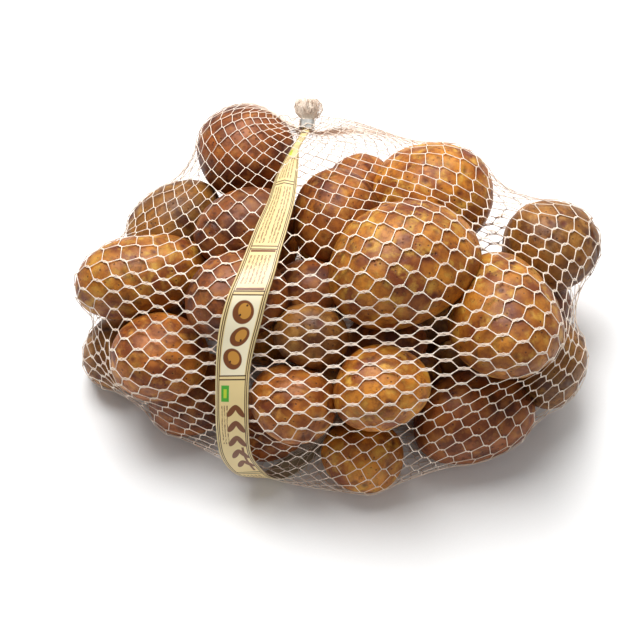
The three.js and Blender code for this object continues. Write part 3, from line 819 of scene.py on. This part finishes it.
PUFF_START = 6.4
PUFF_LENGTH = 11.5
PUFF_RADIUS = 6.2
PUFF_LOOPS = 190
PUFF_SEED = 11


def puff(neck, out, side):
    """Loose loops of thread that fill the top tail: out of the clip, round, and back down."""
    dice = np.random.default_rng(PUFF_SEED)
    across = np.cross(out, side)
    loops = []
    for _ in range(PUFF_LOOPS):
        angle, lean = dice.uniform(0, 2 * math.pi), dice.uniform(0.15, 1.0)
        turn = dice.normal(scale=0.5)
        tall, wide = PUFF_LENGTH * dice.uniform(0.55, 1.0), PUFF_RADIUS * lean
        points = []
        for t in np.linspace(0, 1, 9):
            way = angle + turn * t
            off = wide * math.sin(math.pi * min(1.0, 0.1 + 0.62 * t)) ** 0.8 + 0.6
            rise = PUFF_START + tall * math.sin(0.62 * math.pi * t) * (1.0 if t < 0.8 else 0.96)
            aside = side * math.cos(way) + across * math.sin(way)
            points.append(neck + out * rise + aside * off + dice.normal(scale=0.25, size=3))
        loops.append(smooth_path(np.array(points), (2,), False))
    return np.stack(loops, axis=1)


def lay_threads(points, thread_radius):
    """Lays the threads on the potatoes and the floor."""
    flat = push_out(points.reshape(-1, 3), thread_radius + THREAD_GAP)
    flat[:, 2] = np.maximum(flat[:, 2] - REST_HEIGHT, thread_radius)
    return flat.reshape(points.shape)


def thread_tree():
    """Geometry nodes: every path becomes a round thread."""
    tree = bpy.data.node_groups.new("Knitted threads", "GeometryNodeTree")
    for name, way, kind in (
        ("Geometry", "INPUT", "Geometry"), ("Thread radius", "INPUT", "Float"), ("Sides", "INPUT", "Int"),
        ("Material", "INPUT", "Material"), ("Geometry", "OUTPUT", "Geometry"),
    ):
        tree.interface.new_socket(name, in_out=way, socket_type=f"NodeSocket{kind}")
    given = add(tree, "NodeGroupInput").outputs
    paths = add(tree, "GeometryNodeMeshToCurve", {"Mesh": given["Geometry"]})
    section = add(
        tree, "GeometryNodeCurvePrimitiveCircle",
        {"Resolution": given["Sides"], "Radius": given["Thread radius"]},
    )
    tubes = add(
        tree, "GeometryNodeCurveToMesh", {"Curve": paths, "Profile Curve": section, "Fill Caps": True}
    )
    smooth = add(tree, "GeometryNodeSetShadeSmooth", {"Geometry": tubes})
    real = add(tree, "GeometryNodeRealizeInstances", {"Geometry": smooth})
    dressed = add(tree, "GeometryNodeSetMaterial", {"Geometry": real, "Material": given["Material"]})
    add(tree, "NodeGroupOutput", {0: dressed})
    return tree


def threads_object(name, paths, closed, tree, sizes, material):
    """One piece of the net from an array: point of the path x path x 3, in millimetres."""
    steps, count = paths.shape[:2]
    number = np.arange(steps * count).reshape(steps, count)
    following = np.roll(number, -1, axis=0) if closed else number[1:]
    edges = np.stack([(number if closed else number[:-1]).ravel(), following.ravel()], axis=1)
    mesh = bpy.data.meshes.new(f"{name}_paths")
    mesh.from_pydata((paths.reshape(-1, 3) * MM).tolist(), edges.tolist(), [])
    source = bpy.data.objects.new(f"{name}_paths", mesh)
    bpy.context.scene.collection.objects.link(source)
    modifier = source.modifiers.new("Threads", "NODES")
    modifier.node_group = tree
    settings = {"Thread radius": sizes.thread_radius, "Sides": sizes.sides, "Material": material}
    for item in tree.interface.items_tree:
        if item.name in settings:
            modifier[item.identifier] = settings[item.name]
    evaluated = source.evaluated_get(bpy.context.evaluated_depsgraph_get())
    made = bpy.data.meshes.new_from_object(evaluated)
    if not made.polygons:
        raise RuntimeError(f"{name} came out empty")
    made.name = name
    bpy.data.objects.remove(source)
    piece = bpy.data.objects.new(name, made)
    bpy.context.scene.collection.objects.link(piece)
    return piece


# ---- The film band ------------------------------------------------------------------------------

BAND_PIECES = 360
BAND_STRIPS = 10
EDGE_CURL = 0.35
CURL_PER_MM = 0.09
# The band's ends lie in the clips: distances along the necks of three points at each end.
CLIP_MIDDLE = CLIP_START + CLIP_LENGTH / 2
BAND_TOP_ENDS = (CLIP_START + CLIP_LENGTH, CLIP_MIDDLE, CLIP_START - 0.4)
BAND_BOTTOM_ENDS = (CLIP_START + CLIP_LENGTH + 0.4, CLIP_MIDDLE, CLIP_START)


def in_clip(neck, axis, band_side, distance, side):
    width = np.cross(band_side, axis)
    lowered = neck - np.array([0, 0, REST_HEIGHT])
    return lowered + axis * distance + band_side * BAND_OFFSET + width * side * BAND_PINCH


def band_edge(points, side):
    """One edge of the band: in the top clip, over the bag, and in the lower clip."""
    top_side = unit([0.0, -NECK_TOP_AXIS[2], NECK_TOP_AXIS[1]])
    top = [in_clip(NECK_TOP, NECK_TOP_AXIS, top_side, d, side) for d in BAND_TOP_ENDS]
    bottom = [
        in_clip(NECK_BOTTOM, NECK_BOTTOM_AXIS, -BAND_APPROACH, d, -side) for d in BAND_BOTTOM_ENDS
    ]
    return np.array(top + [np.array(p, float) for p in points] + bottom)


def centripetal(points, s):
    """A centripetal Catmull-Rom path through the points, s from 0 to 1 by point number."""
    place = s * (len(points) - 1)
    i = min(int(place), len(points) - 2)
    t = place - i
    p1, p2 = points[i], points[i + 1]
    p0 = points[i - 1] if i > 0 else 2 * p1 - p2
    p3 = points[i + 2] if i + 2 < len(points) else 2 * p2 - p1
    d0, d1, d2 = (max(np.linalg.norm(b - a) ** 0.5, 1e-4) for a, b in ((p0, p1), (p1, p2), (p2, p3)))
    m1 = ((p1 - p0) / d0 - (p2 - p0) / (d0 + d1) + (p2 - p1) / d1) * d1
    m2 = ((p2 - p1) / d1 - (p3 - p1) / (d1 + d2) + (p3 - p2) / d2) * d1
    return (
        (2 * t**3 - 3 * t**2 + 1) * p1 + (t**3 - 2 * t**2 + t) * m1
        + (-2 * t**3 + 3 * t**2) * p2 + (t**3 - t**2) * m2
    )


def build_band(thickness):
    """Points of the band by station, face and strip, and how far along it each station is."""
    left, right = band_edge(BAND_LEFT, 1), band_edge(BAND_RIGHT, -1)
    stations = np.linspace(0, 1, BAND_PIECES + 1)
    edges = np.array([[centripetal(left, s), centripetal(right, s)] for s in stations])
    middle = edges.mean(axis=1)
    length = np.concatenate([[0], np.cumsum(np.linalg.norm(np.diff(middle, axis=0), axis=1))])
    inward = unit(np.cross(edges[:, 1] - edges[:, 0], np.gradient(middle, axis=0)))
    share = np.linspace(0, 1, BAND_STRIPS + 1)
    from_middle = np.abs(2 * share - 1)
    points = np.zeros((BAND_PIECES + 1, 2, BAND_STRIPS + 1, 3))
    for i, s in enumerate(stations):
        creased = np.clip((s - CREASE_START) / (CREASE_END - CREASE_START), 0, 1)
        rise = BAND_CREASE * math.sin(math.pi * creased) ** 2 * (1 - from_middle)
        open_width = np.clip(np.linalg.norm(edges[i, 1] - edges[i, 0]) / 20 - 0.3, 0, 1)
        rise = rise + EDGE_CURL * open_width * np.sin(CURL_PER_MM * length[i] + 1.0) * from_middle**2
        line = edges[i, 0] + share[:, None] * (edges[i, 1] - edges[i, 0]) - inward[i] * rise[:, None]
        points[i, 0] = line - inward[i] * thickness / 2
        points[i, 1] = line + inward[i] * thickness / 2
    points[..., 2] = np.maximum(points[..., 2], 0.1)
    return points, length


def band_object(points, length):
    """A closed thin strip: its outer face is printed, its inner face and edges are plain film."""
    rows, _, columns = points.shape[:3]
    number = np.arange(points[..., 0].size).reshape(rows, 2, columns)
    faces, kinds = [], []
    for i in range(rows - 1):
        for k in range(columns - 1):
            a, b = number[i, 0], number[i + 1, 0]
            faces.append((a[k], b[k], b[k + 1], a[k + 1]))
            a, b = number[i, 1], number[i + 1, 1]
            faces.append((a[k], a[k + 1], b[k + 1], b[k]))
            kinds += [0, 1]
        for k, flip in ((0, False), (columns - 1, True)):
            quad = (number[i, 0, k], number[i, 1, k], number[i + 1, 1, k], number[i + 1, 0, k])
            faces.append(quad[::-1] if flip else quad)
            kinds.append(1)
    for i, flip in ((0, True), (rows - 1, False)):
        for k in range(columns - 1):
            quad = (number[i, 0, k], number[i, 1, k], number[i, 1, k + 1], number[i, 0, k + 1])
            faces.append(quad[::-1] if flip else quad)
            kinds.append(1)
    band = mesh_object("film_band", points.reshape(-1, 3), faces)
    mesh = band.data
    mesh.polygons.foreach_set("material_index", kinds)
    layer = mesh.uv_layers.new(name="BandPrint")
    u = np.repeat(length / length[-1], 2 * columns)
    v = np.tile(np.linspace(0, 1, columns), rows * 2)
    corner = np.zeros(len(mesh.loops), dtype=np.int32)
    mesh.loops.foreach_get("vertex_index", corner)
    layer.data.foreach_set("uv", np.stack([u[corner], v[corner]], axis=1).ravel())
    return band


# ---- Properties ---------------------------------------------------------------------------------


def colour_property(name, description, hex_colour):
    return bpy.props.FloatVectorProperty(
        name=name, description=description, default=linear(hex_colour), size=4, subtype="COLOR",
        min=0.0, max=1.0,
    )


class PotatoSizes(bpy.types.PropertyGroup):
    detail: bpy.props.IntProperty(
        name="Detail", description="How often each potato's surface is divided", default=6, min=3, max=6
    )
    golden: colour_property("Golden skin", "Main colour of the golden potatoes", "#DA8C2C")
    ochre: colour_property("Ochre skin", "Main colour of the ochre potatoes", "#C67628")
    olive: colour_property("Olive skin", "Main colour of the olive potatoes", "#A86E2C")
    russet: colour_property("Russet skin", "Main colour of the russet potatoes", "#AE6026")


class NetSizes(bpy.types.PropertyGroup):
    thread_radius: bpy.props.FloatProperty(
        name="Thread radius", description="Radius of one knitted thread", default=0.21 * MM,
        min=0.05 * MM, unit="LENGTH", subtype="DISTANCE", precision=5,
    )
    sides: bpy.props.IntProperty(
        name="Sides", description="Faces round one thread", default=4, min=3, max=8
    )
    thread: colour_property("Thread", "Colour of the net's threads", "#FFF2E2")


class BandSizes(bpy.types.PropertyGroup):
    thickness: bpy.props.FloatProperty(
        name="Film thickness", description="Thickness of the band's two plies of film", default=0.3 * MM,
        min=0.05 * MM, unit="LENGTH", subtype="DISTANCE", precision=5,
    )
    film: colour_property("Film", "Colour of the film under the print", "#E8D096")


class ClipSizes(bpy.types.PropertyGroup):
    metal: colour_property("Metal", "Colour of the two clips", "#ECEAE4")


class StageSizes(bpy.types.PropertyGroup):
    elevation: bpy.props.FloatProperty(
        name="Camera height", description="Angle of the camera above the floor",
        default=math.radians(58), unit="ROTATION", subtype="ANGLE",
    )
    distance: bpy.props.FloatProperty(
        name="Camera distance", description="From the camera to the bag", default=0.9,
        unit="LENGTH", subtype="DISTANCE",
    )
    floor_size: bpy.props.FloatProperty(
        name="Floor", description="Side of the paper floor", default=6.0, unit="LENGTH", subtype="DISTANCE"
    )


# ---- Operators ----------------------------------------------------------------------------------


class OBJECT_OT_potato_net_potatoes(bpy.types.Operator):
    """Makes the potatoes, one piece for each kind of skin"""

    bl_idname = "object.potato_net_potatoes"
    bl_label = "Potatoes"

    # The potatoes lie on the net, which is one thread thick under them, with a little to spare.
    LIFT_IN_RADII = 2.1

    def execute(self, context):
        sizes = context.scene.potato_net_potatoes
        floor = self.LIFT_IN_RADII * context.scene.potato_net_net.thread_radius / MM
        for kind in KINDS:
            potatoes = build_potatoes(kind, sizes.detail, floor)
            potatoes.data.materials.append(potato_skin(kind, getattr(sizes, kind)))
            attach(potatoes, "root")
            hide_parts("net_bag")
        return {"FINISHED"}


class OBJECT_OT_potato_net_net(bpy.types.Operator):
    """Knits the net over the potatoes, with its two bunched tails"""

    bl_idname = "object.potato_net_net"
    bl_label = "Net"

    def execute(self, context):
        sizes = context.scene.potato_net_net
        rows = whole_net()
        turning = turning_threads(rows)
        half = turning.shape[1] // 2
        tree, material = thread_tree(), net_thread(sizes.thread)
        for name, paths, closed in (
            ("net_threads_right", straight_threads(rows, 1), False),
            ("net_threads_left", straight_threads(rows, -1), False),
            ("net_threads_turning_upper", turning[:, :half], True),
            ("net_threads_turning_lower", turning[:, half:], True),
            ("net_tail_top", puff(NECK_TOP, NECK_TOP_AXIS, np.array([1.0, 0, 0])), False),
        ):
            laid = lay_threads(np.ascontiguousarray(paths), sizes.thread_radius / MM)
            piece = threads_object(name, laid, closed, tree, sizes, material)
            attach(piece, "root")
            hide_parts("net_bag")
        return {"FINISHED"}


class OBJECT_OT_potato_net_band(bpy.types.Operator):
    """Makes the printed film band"""

    bl_idname = "object.potato_net_band"
    bl_label = "Band"

    def execute(self, context):
        sizes = context.scene.potato_net_band
        points, length = build_band(sizes.thickness / MM)
        band = band_object(points, length)
        band.data.materials.append(printed_film(length[-1], sizes.film))
        band.data.materials.append(film_back())
        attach(band, "root")
        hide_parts("label_band")
        return {"FINISHED"}


class OBJECT_OT_potato_net_clips(bpy.types.Operator):
    """Gives the two clips their metal"""

    bl_idname = "object.potato_net_clips"
    bl_label = "Clips"

    def execute(self, context):
        metal = crimped_aluminium(context.scene.potato_net_clips.metal)
        for name in ("clip_top", "clip_bottom"):
            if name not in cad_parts:
                raise RuntimeError(f"The frame has no {name}")
            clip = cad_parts[name]
            clip.data.materials.clear()
            clip.data.materials.append(metal)
        return {"FINISHED"}


# What the camera looks at, and the width that it takes in at that distance: 640 pixels of 0.53 mm.
LOOK_AT = np.array([-10.7, -20.8, 57.7])
VIEW_WIDTH = 640 * 0.53
SENSOR_WIDTH = 36.0
# Softboxes: name, place and size in metres, power in watts.
SOFTBOXES = (
    ("key_softbox", (-0.2, 0.5, 1.35), 0.9, 26),
    ("fill_softbox", (0.6, -0.9, 1.1), 1.0, 1.5),
    ("back_softbox", (0.4, 1.1, 1.0), 1.0, 6),
)
WORLD_STRENGTH = 0.25


class OBJECT_OT_potato_net_stage(bpy.types.Operator):
    """Lays the floor and sets the light and the camera"""

    bl_idname = "object.potato_net_stage"
    bl_label = "Stage"

    def execute(self, context):
        scene = context.scene
        sizes = scene.potato_net_stage
        half = sizes.floor_size / 2
        corners = np.array([(-half, -half, 0), (half, -half, 0), (half, half, 0), (-half, half, 0)]) / MM
        floor = mesh_object("paper_floor", corners, [(0, 1, 2, 3)], smooth=False)
        floor.data.materials.append(paper_sweep())
        for name, place, size, power in SOFTBOXES:
            light = bpy.data.lights.new(name, "AREA")
            light.shape = "SQUARE"
            light.size = size
            light.energy = power
            lamp = bpy.data.objects.new(name, light)
            lamp.location = place
            lamp.rotation_euler = (-Vector(place)).to_track_quat("-Z", "Y").to_euler()
            scene.collection.objects.link(lamp)
        scene.world = bpy.data.worlds.new("studio")
        scene.world.use_nodes = True
        background = scene.world.node_tree.nodes["Background"]
        background.inputs["Color"].default_value = linear("#FFFFFF")
        background.inputs["Strength"].default_value = WORLD_STRENGTH
        scene.view_settings.view_transform = "Standard"
        lens = bpy.data.cameras.new("camera")
        lens.sensor_width = SENSOR_WIDTH
        lens.lens = SENSOR_WIDTH * sizes.distance / MM / VIEW_WIDTH
        lens.clip_start, lens.clip_end = 0.01, 50.0
        camera = bpy.data.objects.new("camera", lens)
        back = np.array([0, -math.cos(sizes.elevation), math.sin(sizes.elevation)])
        camera.location = (LOOK_AT * MM + back * sizes.distance).tolist()
        camera.rotation_euler = (math.pi / 2 - sizes.elevation, 0, 0)
        scene.collection.objects.link(camera)
        scene.camera = camera
        return {"FINISHED"}


# ---- Panel and registration ---------------------------------------------------------------------

# Each step of the build, in order: its name on the scene, its properties and its operator.
STEPS = (
    ("potato_net_stage", StageSizes, OBJECT_OT_potato_net_stage),
    ("potato_net_potatoes", PotatoSizes, OBJECT_OT_potato_net_potatoes),
    ("potato_net_net", NetSizes, OBJECT_OT_potato_net_net),
    ("potato_net_band", BandSizes, OBJECT_OT_potato_net_band),
    ("potato_net_clips", ClipSizes, OBJECT_OT_potato_net_clips),
)


class VIEW3D_PT_potato_net(bpy.types.Panel):
    """Lists the steps that build the net of potatoes"""

    bl_label = "Potato net"
    bl_space_type = "VIEW_3D"
    bl_region_type = "UI"
    bl_category = "Potato net"

    def draw(self, context):
        for name, group, operator in STEPS:
            box = self.layout.box()
            for size in group.__annotations__:
                box.prop(getattr(context.scene, name), size)
            box.operator(operator.bl_idname)


def register():
    for name, group, operator in STEPS:
        bpy.utils.register_class(group)
        bpy.utils.register_class(operator)
        setattr(bpy.types.Scene, name, bpy.props.PointerProperty(type=group))
    bpy.utils.register_class(VIEW3D_PT_potato_net)


def unregister():
    bpy.utils.unregister_class(VIEW3D_PT_potato_net)
    for name, group, operator in reversed(STEPS):
        delattr(bpy.types.Scene, name)
        bpy.utils.unregister_class(operator)
        bpy.utils.unregister_class(group)


def main():
    register()
    bpy.ops.object.potato_net_stage()
    bpy.ops.object.potato_net_potatoes()
    bpy.ops.object.potato_net_net()
    bpy.ops.object.potato_net_band()
    bpy.ops.object.potato_net_clips()
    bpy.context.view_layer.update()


if __name__ == "__main__":
    main()
